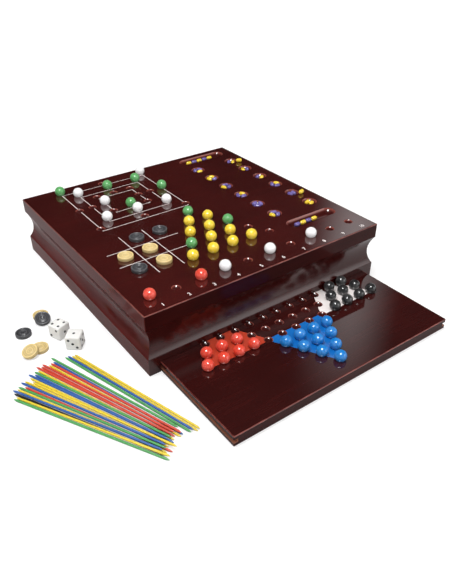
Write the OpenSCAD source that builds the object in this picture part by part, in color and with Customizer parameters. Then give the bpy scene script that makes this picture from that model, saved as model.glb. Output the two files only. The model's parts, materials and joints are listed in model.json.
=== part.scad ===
// A games compendium: a low square box with coved sides. Five games are cut into its top, a
// board with a star of dimples slides out under its front, and its pieces are set out for play.
// Millimetres, +Z up. The origin is the centre of the box's footprint on the table, and the
// board slides out along -Y.

/* [Box] */
// Outside width and depth of the box
box_side = 330; // [326:1:342]
// Height of the box
box_h = 77; // [75:1:84]
// Thickness of the games panel
panel_t = 18; // [16:0.5:20]
// Height of the straight plinth under the cove
plinth_h = 21.5; // [18:0.5:26]
// Depth of the cove
cove_depth = 5.8; // [3:0.2:8]
// Thickness of the four mouldings
moulding_t = 20; // [18:0.5:24]
// Size of the softened arrises of the panel and the board
arris = 0.8; // [0.3:0.1:1.5]
// Leg of the glue blocks in the corners
block_leg = 22; // [12:1:30]

/* [Star board] */
// Thickness of the sliding board
board_t = 13; // [12:0.5:15]
// Distance from the box's outside to the board's side and back edges
board_inset = 14; // [12:0.5:16]
// How far the board is pulled out
board_pull = 128; // [126:1:140]
// Height of the board over the table, and of the slot over the board
board_gap = 0.4; // [0.3:0.1:0.8]
// Clearance at the board's edges and around its runners
slide_gap = 0.3; // [0.2:0.05:0.5]
// Height of the grooves in the board's edges
groove_h = 4.6; // [3.5:0.1:6]
// Depth of the grooves in the board's edges
groove_d = 5; // [4:0.5:8]
// How far the runners are let into the mouldings
runner_let_in = 5; // [3:0.5:7]
// Distance between neighbouring dimples of the star
star_pitch = 20; // [17:0.5:20.5]
// Where the star's centre is from the board's centre, across
star_shift_x = 3; // [-4:0.5:4]
// Where the star's centre is from the board's centre, front to back
star_shift_y = 1.5; // [-2:0.5:2]

/* [Marbles] */
// Diameter of the marbles
marble_d = 13.4; // [12:0.2:14.6]
// How deep a marble sits under the surface
marble_sink = 2.2; // [1.5:0.1:3]
// Clearance between a loose piece and its seat
seat_gap = 0.3; // [0.1:0.05:0.4]

/* [Morris] */
// Centre of the morris from the box's centre, across
morris_x = -56; // [-60:1:-52]
// Centre of the morris from the box's back face
morris_back = 78; // [76:1:82]
// Half the side of the inner square
morris_inner = 25; // [20:1:26]
// Step from one square to the next
morris_step = 18.25; // [16:0.25:19]

/* [Solitaire triangle] */
// Distance between neighbouring holes
solitaire_pitch = 27.7; // [22:0.1:28.5]
// Centre of the triangle from the box's centre, across
solitaire_x = -9.7; // [-12:0.1:-6]
// First row of holes from the box's front face
solitaire_front = 65.2; // [58:0.2:68]

/* [Number row] */
// Distance between neighbouring holes
row_pitch = 31.5; // [26:0.5:32.5]
// Centre of the row from the box's centre, across
row_x = -1.8; // [-3:0.2:3]
// Row from the box's front face
row_front = 25.7; // [20:0.1:30]

/* [Mancala] */
// Distance between neighbouring pits
pit_pitch = 35.2; // [30:0.2:36]
// Radius of a pit's mouth
pit_r = 9.6; // [9.4:0.1:11]
// Depth of a pit
pit_depth = 6; // [5.5:0.1:8]
// Distance between the two columns of pits
column_gap = 60; // [50:1:62]
// Middle of the two columns from the box's right face
mancala_right = 54; // [52:1:60]
// Middle of the pits from the box's centre, front to back
mancala_y = 20.9; // [14:0.1:22]
// Length of a store
store_len = 77; // [72:1:79]
// First stone in a store from the store's middle
store_first = 23; // [20:0.5:24]
// Distance from the last pits to a store
store_step = 36; // [30:0.5:36.5]
// Length of a counting stone
stone_len = 9; // [7:0.2:9.4]
// Diameter of a counting stone
stone_d = 5.6; // [4.5:0.1:5.8]

/* [Draughts] */
// Diameter of a draught
draught_d = 18.2; // [16:0.2:20]
// Thickness of a draught
draught_t = 4.4; // [3.6:0.1:5]
// Depth of the rings turned in both faces
ring_depth = 0.5; // [0.2:0.1:0.8]
// Side of a square of the noughts and crosses grid
grid_pitch = 31.5; // [28:0.5:33]
// Centre of the grid from the box's left face
grid_left = 70.6; // [66:0.2:74]
// Centre of the grid from the box's front face
grid_front = 110.4; // [106:0.2:114]

/* [Dice] */
// Edge of a die
die_side = 17.3; // [12:0.1:18]
// Radius of a pip's mouth
pip_r = 1.6; // [1:0.1:1.7]
// Depth of a pip
pip_depth = 0.6; // [0.3:0.1:0.9]

/* [Sticks] */
// Length of a stick
stick_len = 178; // [160:1:185]
// Diameter of a stick
stick_d = 2.5; // [2:0.1:2.7]
// Length of a stick's pointed ends
stick_point = 4; // [2:0.5:8]

/* [Hidden] */
$fn = 48;

// Lacquer, wood and piece colours
mahogany = [0.23, 0.05, 0.04];
raw_wood = [0.55, 0.27, 0.15];
natural = [0.85, 0.66, 0.36];
black = [0.07, 0.07, 0.08];
white = [0.93, 0.93, 0.93];
red = [0.85, 0.16, 0.11];
blue = [0.08, 0.42, 0.85];
green = [0.15, 0.55, 0.25];
yellow = [0.95, 0.80, 0.10];
violet = [0.25, 0.20, 0.70];

// Holes along a side of the triangle, holes of the number row, and pits in a column
triangle_side = 5;
row_count = 10;
pit_rows = 6;

// Something that overshoots a cut
over = 1;
half = box_side / 2;
side_h = box_h - panel_t;
inner = half - moulding_t;

// The cove is an arc through the plinth's top and the panel's underside
cove_h = side_h - plinth_h;
cove_r = (cove_h * cove_h / 4 + cove_depth * cove_depth) / (2 * cove_depth);

// The board and the bay that it slides in
board_w = box_side - 2 * board_inset;
board_l = box_side - board_inset;
board_top = board_gap + board_t;
board_front = -half - board_pull;
board_mid = board_front + board_l / 2;
groove_z = board_gap + board_t / 2;
bay_half = board_w / 2 + slide_gap;
bay_back = half - board_inset + slide_gap;
bay_top = board_top + board_gap;
runner_t = groove_h - 2 * slide_gap;
runner_in = board_w / 2 - groove_d + slide_gap;

// A marble's centre over its surface, its dimple's radius and the radius of the dimple's rim
marble_rise = marble_d / 2 - marble_sink;
dimple_r = marble_d / 2 + seat_gap;
rim_r = sqrt(dimple_r * dimple_r - marble_rise * marble_rise);

// A pit is part of a sphere, and a store is a trough of the same section
pit_sphere_r = (pit_r * pit_r + pit_depth * pit_depth) / (2 * pit_depth);
pit_sphere_z = pit_sphere_r - pit_depth;
mancala_x = half - mancala_right;
store_y = (pit_rows - 1) / 2 * pit_pitch + store_step;
stone_reach = (stone_len - stone_d) / 2;

// Rows of a triangular lattice are this share of its pitch apart
row_step = sin(60);

// A draught's lands and the slopes beside them, as shares of its radius
inner_land = [0.34, 0.44];
outer_land = [0.84, 0.96];
land_slope = 0.04;

// The sphere that rounds a die's corners, and its pips' distance from a face's middle, as shares
// of the die's edge
die_round = 0.73;
pip_spread = 0.26;

// Clearance between neighbouring sticks, and a stick's tip as a share of its diameter
stick_gap = 0.3;
stick_tip = 0.3;

function holds(list, item) = len([for (entry = list) if (entry == item) entry]) > 0;

// Places on the box's top, each with the marbles that stand there
function square_place(ring, i, j) =
    [morris_x + i * (morris_inner + ring * morris_step),
     half - morris_back + j * (morris_inner + ring * morris_step)];
square_spots = [for (ring = [0:2], i = [-1:1], j = [-1:1]) if (i != 0 || j != 0) [ring, i, j]];
square_green = [[2, -1, 1], [1, 0, 1], [1, 1, 1], [2, 1, 0], [0, 0, -1]];
square_white = [[1, -1, 1], [2, 1, 1], [0, -1, 0], [1, -1, -1], [1, 0, -1], [1, 1, -1]];

function triangle_place(r, c) =
    [solitaire_x + (c - (triangle_side - 1 - r) / 2) * solitaire_pitch,
     -half + solitaire_front + r * solitaire_pitch * row_step];
triangle_spots = [for (r = [0:triangle_side - 1], c = [0:triangle_side - 1 - r]) [r, c]];
triangle_green = [[1, 0], [2, 2], [4, 0]];
triangle_bare = [[0, 4], [1, 3]];
triangle_yellow = [for (s = triangle_spots) if (!holds(triangle_green, s) && !holds(triangle_bare, s)) s];

function row_place(n) = [row_x + (n - (row_count + 1) / 2) * row_pitch, -half + row_front];
row_red = [1, 3];
row_white = [4, 6, 8];

// The star: q counts along a row and r from row to row, and the front point is r under -4
function star_place(q, r) =
    [star_shift_x + (q + r / 2) * star_pitch,
     board_mid + star_shift_y + r * star_pitch * row_step];
function in_star(q, r) =
    min(q, r, -q - r) >= -4 || max(q, r, -q - r) <= 4;
star_spots = [for (r = [-8:8], q = [-8:8]) if (in_star(q, r)) [q, r]];
star_blue = [for (s = star_spots) if (s[1] <= -5) s];
star_red = [for (s = star_spots) if (-s[0] - s[1] >= 5 && s[1] <= -3) s];
star_black = [for (s = star_spots) if (s[0] >= 5 && s[1] <= -2) s];

// A marble whose dimple is half under the plinth leans on the plinth, up on its dimple's rim
plinth_limit = -half - dimple_r;
function lean_rise(shift) =
    shift <= 0 ? marble_rise : sqrt(pow(dimple_r, 2) - pow(max(rim_r - shift, 0), 2));
function star_seat(p) =
    [p[0], min(p[1], plinth_limit), board_top + lean_rise(p[1] - plinth_limit)];

// How far lying stones are from a pit's middle, as three in a ring or as two side by side
ring_r = (stone_reach + stone_d + seat_gap) / sqrt(3);
pair_r = (stone_d + seat_gap) / 2;
function stone_depth(out) =
    pit_sphere_z - sqrt(pow(pit_sphere_r - stone_d / 2 - seat_gap, 2) - out * out);

// A pit's column and row, how its stones are turned, and their colours
pit_stones = [
    [-1, 0, 100, "yvv"], [-1, 1, 20, "vvv"], [-1, 2, -50, "yvv"],
    [-1, 3, 100, "yvv"], [-1, 4, -30, "yyv"], [-1, 5, 60, "vyv"],
    [1, 0, 20, "yy"], [1, 1, 90, "vv"], [1, 2, -60, "yvv"],
    [1, 3, 40, "vy"], [1, 4, 70, "yv"], [1, 5, 50, "vy"]];
// Stones along the stores, from the left
store_stones = [[1, "yvyvy"], [-1, "vyvy"]];
// Stones that lie beside the pits: column, row, offset from the pit, turn and colour
spilt_stones = [[1, 1, 7, -11, 20, "y"], [1, 5, 7, -11, -25, "y"]];

// Draughts on the grid: column and row from the middle square
grid_natural = [[-1, 0], [0, 0], [0, -1]];
grid_black = [[-1, -1], [0, 1], [1, 1]];

// Loose pieces on the table, from the box's front left corner
black_draught_at = [-81, 146.4];
natural_pair_at = [-75.3, 110.2];
mixed_pair_at = [-51.9, 168.6];
// The bearings of the low edges of the pairs' upper draughts, and how far out the edges are
natural_lean = -162;
mixed_lean = -99;
lean_reach = 20.5;
die_one_at = [-47.2, 121.5];
die_two_at = [-40.7, 93.7];
die_one_turn = -68;
die_two_turn = -40;

// The sticks lie in two fans. Each has its first stick's back end from the box's front left
// corner, the step to the next back end, the number of sticks, and the bearings of the first
// and the last stick from -Y. Every second stick of a crowded fan lies up on its neighbours.
main_fan = [[-126.5, 49.5], [2.84, 1.1], 22, 28.6, 18.3];
side_fan = [[-58.3, 77], [3.05, 0.35], 4, 16.8, 16.3];
// How far each stick is pushed back along itself, and its colour
main_slip = [0, 0, 6, 11, 8, 10, 4, 13, 11, 3, 10, 16, 10, 14, 12, 18, 14, 16, 9, 10, 9, 16];
side_slip = [3, 3, 0, 0];
main_colours = "gykbygrbyyybbgyrrryrbg";
side_colours = "gbyy";

// Corner of the box on the table that the loose pieces are placed from
function beside(p) = [p[0] - half, p[1] - half];

// A box-shaped solid between two corners
module block(low, high) {
    translate(low) cube(high - low);
}

// The room that the board slides in, open at the front
module board_bay() {
    block([-bay_half, -half - over, -over], [bay_half, bay_back, bay_top]);
}

// One runner, on the left for side -1 and on the right for side 1
module runner(side) {
    outer = bay_half + runner_let_in;
    mirror([side < 0 ? 1 : 0, 0, 0])
        block([runner_in, -inner, groove_z - runner_t / 2], [outer, inner, groove_z + runner_t / 2]);
}

// A length of coved moulding, its outside at y = 0 and its inside towards +Y
module coved_length() {
    rotate([90, 0, 90])
        linear_extrude(box_side, center = true)
            difference() {
                square([moulding_t, side_h]);
                translate([cove_depth - cove_r, plinth_h + cove_h / 2])
                    circle(r = cove_r, $fn = 96);
            }
}

// One side of the box, mitred at both ends and cut for the board and the runners
module moulding(turn) {
    difference() {
        rotate([0, 0, turn])
            intersection() {
                translate([0, -half, 0]) coved_length();
                linear_extrude(side_h)
                    polygon([[-half, -half], [half, -half], [inner, -inner], [-inner, -inner]]);
            }
        board_bay();
        runner(-1);
        runner(1);
    }
}

// A marble's seat, under a surface at z = 0
module dimple() {
    translate([0, 0, marble_rise]) sphere(r = dimple_r);
}

// A marble in its seat, over a surface at z = 0
module marble() {
    translate([0, 0, marble_rise]) sphere(d = marble_d);
}

// The outline of a board's section with its arrises taken off
module softened(w, low, high, low_arris) {
    polygon([[-w / 2 + low_arris, low], [w / 2 - low_arris, low], [w / 2, low + low_arris],
        [w / 2, high - arris], [w / 2 - arris, high], [-w / 2 + arris, high],
        [-w / 2, high - arris], [-w / 2, low + low_arris]]);
}

// A board with softened arrises, w across and l from front to back
module softened_board(w, l, low, high, low_arris) {
    intersection() {
        rotate([90, 0, 0]) linear_extrude(l, center = true) softened(w, low, high, low_arris);
        rotate([90, 0, 90]) linear_extrude(w, center = true) softened(l, low, high, low_arris);
    }
}

function pit_place(column, row) =
    [mancala_x + column * column_gap / 2, mancala_y + (row - (pit_rows - 1) / 2) * pit_pitch];

// A pit, under a surface at z = 0
module pit() {
    translate([0, 0, pit_sphere_z]) sphere(r = pit_sphere_r);
}

// A store, under a surface at z = 0
module store() {
    run = store_len / 2 - pit_r;
    translate([0, 0, pit_sphere_z]) {
        rotate([0, 90, 0]) cylinder(h = 2 * run, r = pit_sphere_r, center = true);
        for (side = [-1, 1]) translate([side * run, 0, 0]) sphere(r = pit_sphere_r);
    }
}

module top_panel() {
    color(mahogany)
        difference() {
            softened_board(box_side, box_side, side_h, box_h, 0);
            translate([0, 0, box_h]) {
                for (s = square_spots) translate(square_place(s[0], s[1], s[2])) dimple();
                for (s = triangle_spots) translate(triangle_place(s[0], s[1])) dimple();
                for (n = [1:row_count]) translate(row_place(n)) dimple();
                for (column = [-1, 1], row = [0:pit_rows - 1])
                    translate(pit_place(column, row)) pit();
                for (side = [-1, 1]) translate([mancala_x, mancala_y + side * store_y]) store();
            }
        }
}

module front_moulding() {
    color(mahogany) moulding(0);
}

module right_moulding() {
    color(mahogany) moulding(90);
}

module back_moulding() {
    color(mahogany) moulding(180);
}

module left_moulding() {
    color(mahogany) moulding(270);
}

module left_runner() {
    color(raw_wood) runner(-1);
}

module right_runner() {
    color(raw_wood) runner(1);
}

// Triangular blocks glued in the corners, under the panel
module corner_blocks() {
    color(raw_wood)
        for (turn = [0:90:270])
            rotate([0, 0, turn])
                translate([-inner, -inner, plinth_h])
                    linear_extrude(cove_h)
                        polygon([[0, 0], [block_leg, 0], [0, block_leg]]);
}

module sliding_board() {
    color(mahogany)
        difference() {
            translate([0, board_mid, 0])
                softened_board(board_w, board_l, board_gap, board_top, arris);
            for (side = [-1, 1])
                translate([side * board_w / 2, board_mid, groove_z])
                    cube([2 * groove_d, board_l + 2 * over, groove_h], center = true);
            for (s = star_spots)
                translate([star_place(s[0], s[1])[0], star_place(s[0], s[1])[1], board_top]) dimple();
        }
}

module star_marbles(spots) {
    for (s = spots) translate(star_seat(star_place(s[0], s[1]))) sphere(d = marble_d);
}

module star_marbles_blue() {
    color(blue) star_marbles(star_blue);
}

module star_marbles_red() {
    color(red) star_marbles(star_red);
}

module star_marbles_black() {
    color(black) star_marbles(star_black);
}

module square_marbles(spots) {
    for (s = spots) translate([0, 0, box_h]) translate(square_place(s[0], s[1], s[2])) marble();
}

module morris_marbles_green() {
    color(green) square_marbles(square_green);
}

module morris_marbles_white() {
    color(white) square_marbles(square_white);
}

module triangle_marbles(spots) {
    for (s = spots) translate([0, 0, box_h]) translate(triangle_place(s[0], s[1])) marble();
}

module solitaire_marbles_yellow() {
    color(yellow) triangle_marbles(triangle_yellow);
}

module solitaire_marbles_green() {
    color(green) triangle_marbles(triangle_green);
}

module row_marbles(numbers) {
    for (n = numbers) translate([0, 0, box_h]) translate(row_place(n)) marble();
}

module row_marbles_red() {
    color(red) row_marbles(row_red);
}

module row_marbles_white() {
    color(white) row_marbles(row_white);
}

// A counting stone, lying along X
module stone() {
    rotate([0, 90, 0]) cylinder(h = 2 * stone_reach, d = stone_d, center = true, $fn = 32);
    for (side = [-1, 1]) translate([side * stone_reach, 0, 0]) sphere(d = stone_d, $fn = 32);
}

// The stones of one colour in a pit with its mouth at z = 0
module stones_in_pit(turn, colours, colour) {
    n = len(colours);
    out = n == 3 ? ring_r : pair_r;
    depth = stone_depth(sqrt(out * out + stone_reach * stone_reach));
    for (i = [0:n - 1])
        if (colours[i] == colour)
            rotate([0, 0, turn + i * 360 / n]) translate([0, out, depth]) stone();
}

// All stones of one colour
module mancala_stones(colour) {
    translate([0, 0, box_h]) {
        for (p = pit_stones)
            translate(pit_place(p[0], p[1])) stones_in_pit(p[2], p[3], colour);
        for (s = store_stones, i = [0:len(s[1]) - 1])
            if (s[1][i] == colour)
                translate([mancala_x - store_first + i * (stone_len + seat_gap),
                    mancala_y + s[0] * store_y, stone_depth(0)])
                    stone();
        for (s = spilt_stones)
            if (s[5] == colour)
                translate([pit_place(s[0], s[1])[0] + s[2], pit_place(s[0], s[1])[1] + s[3],
                    stone_d / 2 + seat_gap])
                    rotate([0, 0, s[4]]) stone();
    }
}

module mancala_stones_yellow() {
    color(yellow) mancala_stones("y");
}

module mancala_stones_violet() {
    color(violet) mancala_stones("v");
}

// A draught with two rings turned in each face, standing on z = 0
module draught() {
    r = draught_d / 2;
    profile = [[0, ring_depth],
        [r * (inner_land[0] - land_slope), ring_depth],
        [r * inner_land[0], 0],
        [r * inner_land[1], 0],
        [r * (inner_land[1] + land_slope), ring_depth],
        [r * (outer_land[0] - land_slope), ring_depth],
        [r * outer_land[0], 0],
        [r * outer_land[1], 0],
        [r, r * land_slope]];
    rotate_extrude()
        polygon(concat(profile,
            [for (i = [len(profile) - 1:-1:0]) [profile[i][0], draught_t - profile[i][1]]]));
}

// A draught that leans on the one at the origin, its low edge towards the bearing
module leaning_draught(bearing) {
    rise = atan(draught_t / (lean_reach - draught_d / 2));
    rotate([0, 0, bearing])
        translate([lean_reach, 0, seat_gap])
            rotate([0, rise, 0])
                translate([-draught_d / 2, 0, 0])
                    draught();
}

module grid_draughts(spots) {
    for (s = spots)
        translate([-half + grid_left + s[0] * grid_pitch, -half + grid_front + s[1] * grid_pitch,
            box_h])
            draught();
}

module deck_draughts_natural() {
    color(natural) grid_draughts(grid_natural);
}

module deck_draughts_black() {
    color(black) grid_draughts(grid_black);
}

module loose_draughts_natural() {
    color(natural) {
        translate(beside(natural_pair_at)) {
            draught();
            leaning_draught(natural_lean);
        }
        translate(beside(mixed_pair_at)) draught();
    }
}

module loose_draughts_black() {
    color(black) {
        translate(beside(black_draught_at)) draught();
        translate(beside(mixed_pair_at)) leaning_draught(mixed_lean);
    }
}

// Where the pips of a face stand, from -1 to 1 each way
function pips(n) = concat(
    n % 2 == 1 ? [[0, 0]] : [],
    n >= 2 ? [[-1, -1], [1, 1]] : [],
    n >= 4 ? [[-1, 1], [1, -1]] : [],
    n == 6 ? [[-1, 0], [1, 0]] : []);

// A die standing on z = 0, its opposite faces adding up to seven
module die(top, front, right, lean) {
    ball_r = (pip_r * pip_r + pip_depth * pip_depth) / (2 * pip_depth);
    faces = [[0, 0, 0, top], [180, 0, 0, 7 - top], [90, 0, 0, front], [90, 0, 180, 7 - front],
        [90, 0, 90, right], [90, 0, -90, 7 - right]];
    translate([0, 0, die_side / 2])
        difference() {
            intersection() {
                cube(die_side, center = true);
                sphere(r = die_side * die_round, $fn = 64);
            }
            for (f = faces, p = pips(f[3]))
                rotate([f[0], f[1], f[2]])
                    translate([lean * p[0] * die_side * pip_spread, p[1] * die_side * pip_spread,
                        die_side / 2 + ball_r - pip_depth])
                        sphere(r = ball_r, $fn = 24);
        }
}

module die_one() {
    color(white) translate(beside(die_one_at)) rotate([0, 0, die_one_turn]) die(4, 2, 1, 1);
}

module die_two() {
    color(white) translate(beside(die_two_at)) rotate([0, 0, die_two_turn]) die(1, 3, 5, -1);
}

// A stick lying from its back end at the origin along -Y, pointed at both ends
module stick() {
    rotate([90, 0, 0]) {
        cylinder(h = stick_point, d1 = stick_d * stick_tip, d2 = stick_d, $fn = 16);
        translate([0, 0, stick_point])
            cylinder(h = stick_len - 2 * stick_point, d = stick_d, $fn = 16);
        translate([0, 0, stick_len - stick_point])
            cylinder(h = stick_point, d1 = stick_d, d2 = stick_d * stick_tip, $fn = 16);
    }
}

// How high a stick's front end is when its back end is on the table and it lies on two others:
// its neighbours' centres come nearer from the back to the front
function fan_rise(fan) =
    let(turn = (fan[3] - fan[4]) / (fan[2] - 1),
        middle = (fan[3] + fan[4]) / 2,
        back = fan[1][0] * cos(middle) + fan[1][1] * sin(middle),
        reach = stick_d + stick_gap)
    max([for (t = [0.1:0.05:1])
        let(apart = back - t * stick_len * turn * PI / 180)
        apart < reach ? sqrt(reach * reach - apart * apart) / t : 0]);

// The sticks of one colour in a fan
module fan_sticks(fan, slip, colours, colour) {
    for (i = [0:fan[2] - 1])
        if (colours[i] == colour) {
            bearing = fan[3] + (fan[4] - fan[3]) * i / (fan[2] - 1);
            rise = i % 2 == 1 ? asin(fan_rise(fan) / stick_len) : 0;
            translate(concat(beside(fan[0] + i * fan[1]), [stick_d / 2]))
                rotate([0, 0, bearing])
                    translate([0, slip[i], 0])
                        rotate([-rise, 0, 0])
                            stick();
        }
}

module sticks(colour) {
    fan_sticks(main_fan, main_slip, main_colours, colour);
    fan_sticks(side_fan, side_slip, side_colours, colour);
}

module sticks_yellow() {
    color(yellow) sticks("y");
}

module sticks_blue() {
    color(blue) sticks("b");
}

module sticks_green() {
    color(green) sticks("g");
}

module sticks_red() {
    color(red) sticks("r");
}

module stick_black() {
    color(black) sticks("k");
}

top_panel();
front_moulding();
back_moulding();
left_moulding();
right_moulding();
left_runner();
right_runner();
corner_blocks();
sliding_board();
star_marbles_blue();
star_marbles_red();
star_marbles_black();
morris_marbles_green();
morris_marbles_white();
solitaire_marbles_yellow();
solitaire_marbles_green();
row_marbles_red();
row_marbles_white();
mancala_stones_yellow();
mancala_stones_violet();
deck_draughts_natural();
deck_draughts_black();
loose_draughts_natural();
loose_draughts_black();
die_one();
die_two();
sticks_yellow();
sticks_blue();
sticks_green();
sticks_red();
stick_black();
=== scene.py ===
"""A games compendium: a low square box with coved sides and five games cut into its top, a
board with a star of dimples that slides out under its front, and the pieces set out for play.
Every size is in metres, in the frame of the construction model."""

import json
import math

import bmesh
import bpy
import numpy as np
from bpy.props import FloatProperty, FloatVectorProperty, PointerProperty
from mathutils import Matrix, Vector


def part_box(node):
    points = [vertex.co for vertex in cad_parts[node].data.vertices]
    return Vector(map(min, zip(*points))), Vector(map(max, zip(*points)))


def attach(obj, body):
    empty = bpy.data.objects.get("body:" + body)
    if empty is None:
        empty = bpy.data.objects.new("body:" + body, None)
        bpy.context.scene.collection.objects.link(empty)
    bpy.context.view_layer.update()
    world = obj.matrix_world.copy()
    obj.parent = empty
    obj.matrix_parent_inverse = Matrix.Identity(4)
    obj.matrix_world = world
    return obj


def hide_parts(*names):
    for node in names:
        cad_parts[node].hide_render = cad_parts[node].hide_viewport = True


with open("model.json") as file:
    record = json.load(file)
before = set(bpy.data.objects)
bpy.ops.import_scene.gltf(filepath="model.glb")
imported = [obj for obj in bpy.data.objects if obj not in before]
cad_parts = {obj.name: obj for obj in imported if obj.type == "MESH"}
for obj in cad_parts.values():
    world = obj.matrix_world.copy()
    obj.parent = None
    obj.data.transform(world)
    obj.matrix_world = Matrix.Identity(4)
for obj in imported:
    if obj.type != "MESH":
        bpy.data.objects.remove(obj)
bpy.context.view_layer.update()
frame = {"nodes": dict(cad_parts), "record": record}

bl_info = {
    "name": "Games Compendium",
    "version": (1, 0, 0),
    "blender": (4, 5, 0),
    "location": "3D View > Sidebar > Compendium",
    "description": "Builds a wooden games box with its sliding star board and playing pieces",
    "category": "Add Mesh",
}


# Sizes and colours

# Corners nearer than this are one corner
MERGE = 1e-6
# How far a cutting block reaches past what it cuts
PAST = 0.01
# The centres of the games on the top, from its centre or from the side that is named
MORRIS_X, MORRIS_FROM_BACK = -0.056, 0.078
TRIANGLE_X, TRIANGLE_FROM_FRONT = -0.0097, 0.0652
ROW_X, ROW_FROM_FRONT = -0.0018, 0.0257
MANCALA_FROM_RIGHT, MANCALA_Y = 0.054, 0.0209
GRID_FROM_LEFT, GRID_FROM_FRONT = 0.0706, 0.1104
# How far down the painted highlight on a hollow's upper wall goes, and how deep its lacquer is
DIMPLE_HIGHLIGHT, PIT_HIGHLIGHT, STAR_HIGHLIGHT = 0.0016, 0.0038, 0.0014
HOLLOW_DEPTH = 1.5
# How far the mouldings reach up into the panel, to close the joint
LIP = 0.0001
# Size of the cove's softened edges, and the straight pieces in its curve
SOFTENED = 0.0006
COVE_STEPS = 48
# From a hole to its number, to the right and forward
NUMBER_RIGHT, NUMBER_BEFORE = 0.0048, 0.0178
# The font's size for a digit of height 1, and how much its strokes are thickened
FONT_SIZE = 1.42
THICKENED = 0.00006
# A draught's turned face from its middle to its rim: shares of its radius, and how far down
# each is as a share of its thickness
DRAUGHT_FACE = ((0, 0.12), (0.10, 0.12), (0.14, 0.06), (0.22, 0.06), (0.27, 0.11), (0.31, 0.11),
    (0.34, 0.01), (0.36, 0), (0.43, 0), (0.46, 0.02), (0.49, 0.10), (0.56, 0.11),
    (0.58, 0.06), (0.62, 0.05), (0.66, 0.06), (0.68, 0.11), (0.78, 0.11), (0.81, 0.03),
    (0.84, 0), (0.93, 0), (0.97, 0.02), (1, 0.08))
# Steps round a draught, and how far in every second one is at its reeded rim
RIM_STEPS = 72
REED = 0.985
# Each die's turn in degrees, the pips on its top, front and right faces, and their hand
DICE = (("die_one", -68, (4, 2, 1), 1), ("die_two", -40, (1, 3, 5), -1))
# Radius of a die's corners, depth of a pip, and its way from the middle as a share of the edge
DIE_CORNER = 0.0017
PIP_DEPTH = 0.0006
PIP_SPREAD = 0.26
# Rows of holes in each point of the star
POINT_ROWS = 4
# Length of a stick's point, and its two tapers: how much each narrows it, and its share of it
STICK_POINT = 0.004
STICK_TAPERS = ((0.8, 0.4), (0.3, 0.6))
# The camera's place, and its angles in radians
CAMERA_PLACE = (-0.36996, -0.58523, 0.41687)
CAMERA_HEADING = -0.62497
CAMERA_TILT = 0.60676
CAMERA_ROLL = -0.00396
# Its focal length, and the picture's height and shift, in the photo's pixels, and its sensor's
# size in millimetres
FOCAL_LENGTH = 590.87
PICTURE_HEIGHT = 584
PICTURE_SHIFT = 8
SENSOR = 36
# The floor's colour, from where to where it turns white, and its light in a mirror
FLOOR_COLOUR = (0.55, 0.55, 0.55, 1)
FLOOR_FADE = (0.7, 1.8)
FLOOR_MIRRORED = 0.1
# The room's light on the pieces, and how bright its parts are in a mirror
ROOM_LIGHT = 0.62
ROOM_DARK, ROOM_WALL, ROOM_STRIP, ROOM_GLOW = 0.004, 0.55, 0.95, 2.3
# The room's tall strip of light: its turn to the right of straight back, half its width and
# its height
STRIP_TURN = math.radians(50)
STRIP_WIDE = 0.085
STRIP_HIGH = 0.52
# The way to the soft round light before the box, and how far from it the light ends and is whole
GLOW_WAY = (0.54, -0.76, 0.36)
GLOW_EDGE, GLOW_CORE = math.radians(23), math.radians(6)


def millimetres(name, description, value):
    """A length that a user can change, given in millimetres and kept in metres"""
    return FloatProperty(name=name, description=description, default=value / 1000, min=0,
        precision=4, unit="LENGTH")


def colour(name, description, *value):
    """A colour that a user can change"""
    return FloatVectorProperty(name=name, description=description, default=value, min=0, max=1,
        size=3, subtype="COLOR")


class CompendiumBox(bpy.types.PropertyGroup):
    """Sizes of the box and of the board that slides out of it"""
    side: millimetres("Side", "Outside width and depth of the box", 330)
    height: millimetres("Height", "Height of the box", 77)
    panel: millimetres("Games panel", "Thickness of the games panel", 18)
    plinth: millimetres("Plinth", "Height of the straight plinth under the cove", 21.5)
    cove: millimetres("Cove", "Depth of the cove", 5.8)
    moulding: millimetres("Moulding", "Thickness of the mouldings", 20)
    arris: millimetres("Arris", "Radius of the panel's and the board's rounded edges", 1)
    board: millimetres("Board", "Thickness of the sliding board", 13)
    inset: millimetres("Inset", "From the box's outside to the board's edges", 14)
    pull: millimetres("Pull", "How far the board is pulled out", 128)
    lift: millimetres("Lift", "Height of the board over the table", 0.4)
    clearance: millimetres("Clearance", "Room at the board's edges", 0.3)
    groove: millimetres("Groove", "Height of the grooves in the board's edges", 4.6)
    groove_depth: millimetres("Groove depth", "Depth of the grooves in the board's edges", 5)


class CompendiumGames(bpy.types.PropertyGroup):
    """Sizes of the dimples, pits and stores of the games"""
    marble: millimetres("Marble", "Diameter of a marble", 13.4)
    sink: millimetres("Sink", "How deep a marble sits under the surface", 2.2)
    seat: millimetres("Seat", "Clearance between a marble and its dimple", 0.3)
    star: millimetres("Star", "Pitch of the star's dimples", 20)
    star_x: millimetres("Star across", "The star's centre from the board's, across", 3)
    star_y: millimetres("Star along", "The star's centre from the board's, front to back", 1.5)
    morris_inner: millimetres("Inner square", "Half the side of the inner square", 25)
    morris_step: millimetres("Square step", "Step from one square to the next", 18.25)
    triangle: millimetres("Triangle", "Pitch of the triangle's holes", 27.7)
    row: millimetres("Number row", "Pitch of the row's holes", 31.5)
    pit_step: millimetres("Pit step", "Pitch of the pits", 35.2)
    pit: millimetres("Pit", "Radius of a pit's mouth", 9.6)
    pit_depth: millimetres("Pit depth", "Depth of a pit", 6)
    columns: millimetres("Columns", "Distance between the two columns of pits", 60)
    store: millimetres("Store", "Length of a store", 77)
    store_step: millimetres("Store step", "Distance from the last pits to a store", 36)
    stone: millimetres("Stone", "Diameter of a counting stone", 5.6)
    draught: millimetres("Draught", "Diameter of a draught", 18.2)
    draught_height: millimetres("Draught height", "Thickness of a draught", 4.4)
    die: millimetres("Die", "Edge of a die", 17.3)
    pip: millimetres("Pip", "Radius of a pip", 1.6)
    stick: millimetres("Stick", "Diameter of a stick", 2.5)


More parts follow.
